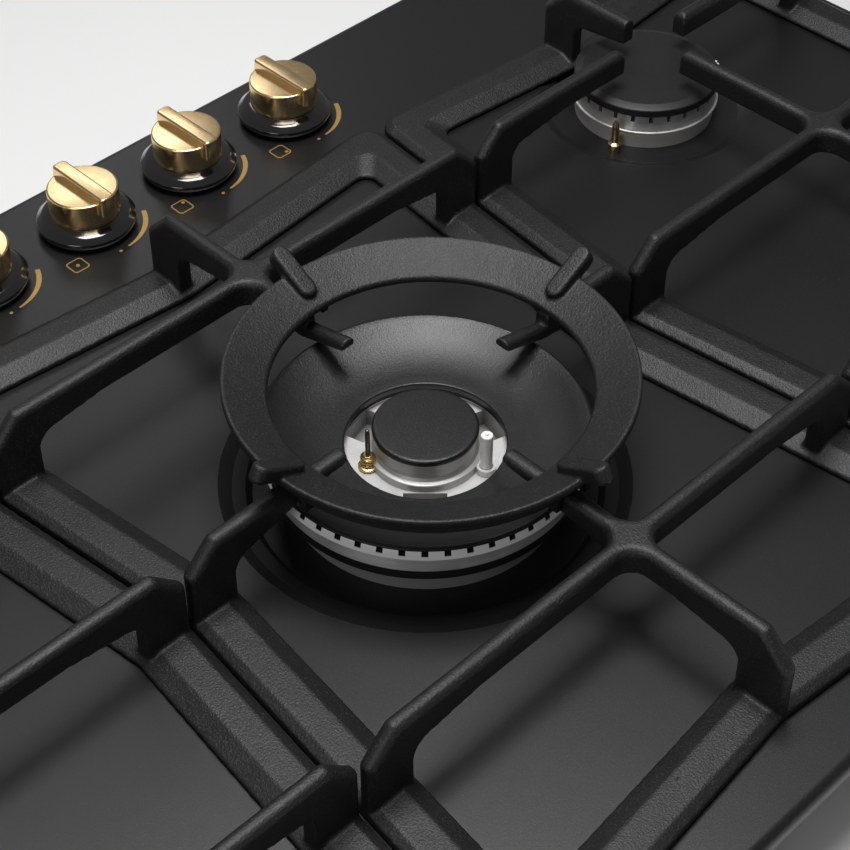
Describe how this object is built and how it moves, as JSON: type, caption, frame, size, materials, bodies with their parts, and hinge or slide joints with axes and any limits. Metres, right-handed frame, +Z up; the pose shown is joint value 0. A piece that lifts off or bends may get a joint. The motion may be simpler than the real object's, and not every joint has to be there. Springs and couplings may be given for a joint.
{
  "type": "gas cooktop",
  "caption": "Wide built-in gas cooktop with cast-iron pan supports, a central wok burner under a loose wok ring, and a row of brass knobs along the front.",
  "frame": {"origin": "middle of the plan, at the lowest point of the bottom pan", "axes": "+X to the user's right, +Y to the back of the worktop, +Z up"},
  "size_m": [0.88, 0.516, 0.1287],
  "materials": {
    "black_enamel": "satin black vitreous enamel with a fine grain",
    "zinc_steel": "plain zinc-plated sheet steel",
    "foam": "closed-cell foam strip",
    "burner_aluminium": "turned and brushed die-cast aluminium",
    "black_cap_enamel": "matt black enamel with a fine pimpled grain",
    "ceramic": "white glazed ceramic electrode",
    "probe_brass": "plain turned brass",
    "cast_iron": "matt black enamelled cast iron, sandy grain",
    "rubber": "matt black rubber",
    "gloss_black": "deep gloss black",
    "knob_brass": "satin turned brass",
    "stem_steel": "bare turned steel",
    "grey_plastic": "moulded grey plastic case"
  },
  "bodies": {
    "root": {"hob_top": "black_enamel", "bottom_pan": "zinc_steel", "fixing_clamps": "zinc_steel", "clamp_screws": "zinc_steel", "gas_manifold": "zinc_steel", "inlet_pipe": "zinc_steel", "worktop_seal": "foam", "wok_burner_cup": "burner_aluminium", "wok_burner_crown": "burner_aluminium", "wok_inner_crown": "burner_aluminium", "wok_dish_cap": "black_cap_enamel", "wok_inner_cap": "black_cap_enamel", "wok_igniter": "ceramic", "igniters": "ceramic", "wok_thermocouple": "probe_brass", "thermocouples": "probe_brass", "gas_taps": "probe_brass", "gas_inlet": "probe_brass", "burner_cup_front_left": "burner_aluminium", "flame_spreader_front_left": "burner_aluminium", "burner_cap_front_left": "black_cap_enamel", "burner_cup_rear_left": "burner_aluminium", "flame_spreader_rear_left": "burner_aluminium", "burner_cap_rear_left": "black_cap_enamel", "burner_cup_front_right": "burner_aluminium", "flame_spreader_front_right": "burner_aluminium", "burner_cap_front_right": "black_cap_enamel", "burner_cup_rear_right": "burner_aluminium", "flame_spreader_rear_right": "burner_aluminium", "burner_cap_rear_right": "black_cap_enamel", "spark_unit": "grey_plastic"},
    "centre_grate": {"centre_grate": "cast_iron", "centre_grate_pads": "rubber"},
    "left_grate": {"left_grate": "cast_iron", "left_grate_pads": "rubber"},
    "right_grate": {"right_grate": "cast_iron", "right_grate_pads": "rubber"},
    "wok_ring": {"wok_ring": "cast_iron"},
    "stem_1": {"tap_stem_1": "stem_steel"},
    "knob_1": {"knob_skirt_1": "gloss_black", "knob_grip_1": "knob_brass"},
    "stem_2": {"tap_stem_2": "stem_steel"},
    "knob_2": {"knob_skirt_2": "gloss_black", "knob_grip_2": "knob_brass"},
    "stem_3": {"tap_stem_3": "stem_steel"},
    "knob_3": {"knob_skirt_3": "gloss_black", "knob_grip_3": "knob_brass"},
    "stem_4": {"tap_stem_4": "stem_steel"},
    "knob_4": {"knob_skirt_4": "gloss_black", "knob_grip_4": "knob_brass"},
    "stem_5": {"tap_stem_5": "stem_steel"},
    "knob_5": {"knob_skirt_5": "gloss_black", "knob_grip_5": "knob_brass"}
  },
  "joints": [
    {"name": "centre_grate_lift", "type": "slide", "parent": "root", "child": "centre_grate", "axis": [0, 0, 1], "range_m": [0, 0.08]},
    {"name": "left_grate_lift", "type": "slide", "parent": "root", "child": "left_grate", "axis": [0, 0, 1], "range_m": [0, 0.08]},
    {"name": "right_grate_lift", "type": "slide", "parent": "root", "child": "right_grate", "axis": [0, 0, 1], "range_m": [0, 0.08]},
    {"name": "wok_ring_lift", "type": "slide", "parent": "centre_grate", "child": "wok_ring", "axis": [0, 0, 1], "range_m": [0, 0.06]},
    {"name": "knob_1_push", "type": "slide", "parent": "root", "child": "stem_1", "axis": [0, 0, -1], "range_m": [0, 0.0025], "stiffness_N_per_m": 1500, "springref_m": -0.004},
    {"name": "knob_1_turn", "type": "hinge", "parent": "stem_1", "child": "knob_1", "pos_m": [-0.1344, -0.2163, 0.075], "axis": [0, 0, 1], "range_deg": [0, 210]},
    {"name": "knob_2_push", "type": "slide", "parent": "root", "child": "stem_2", "axis": [0, 0, -1], "range_m": [0, 0.0025], "stiffness_N_per_m": 1500, "springref_m": -0.004},
    {"name": "knob_2_turn", "type": "hinge", "parent": "stem_2", "child": "knob_2", "pos_m": [-0.0672, -0.2163, 0.075], "axis": [0, 0, 1], "range_deg": [0, 210]},
    {"name": "knob_3_push", "type": "slide", "parent": "root", "child": "stem_3", "axis": [0, 0, -1], "range_m": [0, 0.0025], "stiffness_N_per_m": 1500, "springref_m": -0.004},
    {"name": "knob_3_turn", "type": "hinge", "parent": "stem_3", "child": "knob_3", "pos_m": [0, -0.2163, 0.075], "axis": [0, 0, 1], "range_deg": [0, 210]},
    {"name": "knob_4_push", "type": "slide", "parent": "root", "child": "stem_4", "axis": [0, 0, -1], "range_m": [0, 0.0025], "stiffness_N_per_m": 1500, "springref_m": -0.004},
    {"name": "knob_4_turn", "type": "hinge", "parent": "stem_4", "child": "knob_4", "pos_m": [0.0672, -0.2163, 0.075], "axis": [0, 0, 1], "range_deg": [0, 210]},
    {"name": "knob_5_push", "type": "slide", "parent": "root", "child": "stem_5", "axis": [0, 0, -1], "range_m": [0, 0.0025], "stiffness_N_per_m": 1500, "springref_m": -0.004},
    {"name": "knob_5_turn", "type": "hinge", "parent": "stem_5", "child": "knob_5", "pos_m": [0.1344, -0.2163, 0.075], "axis": [0, 0, 1], "range_deg": [0, 210]}
  ]
}
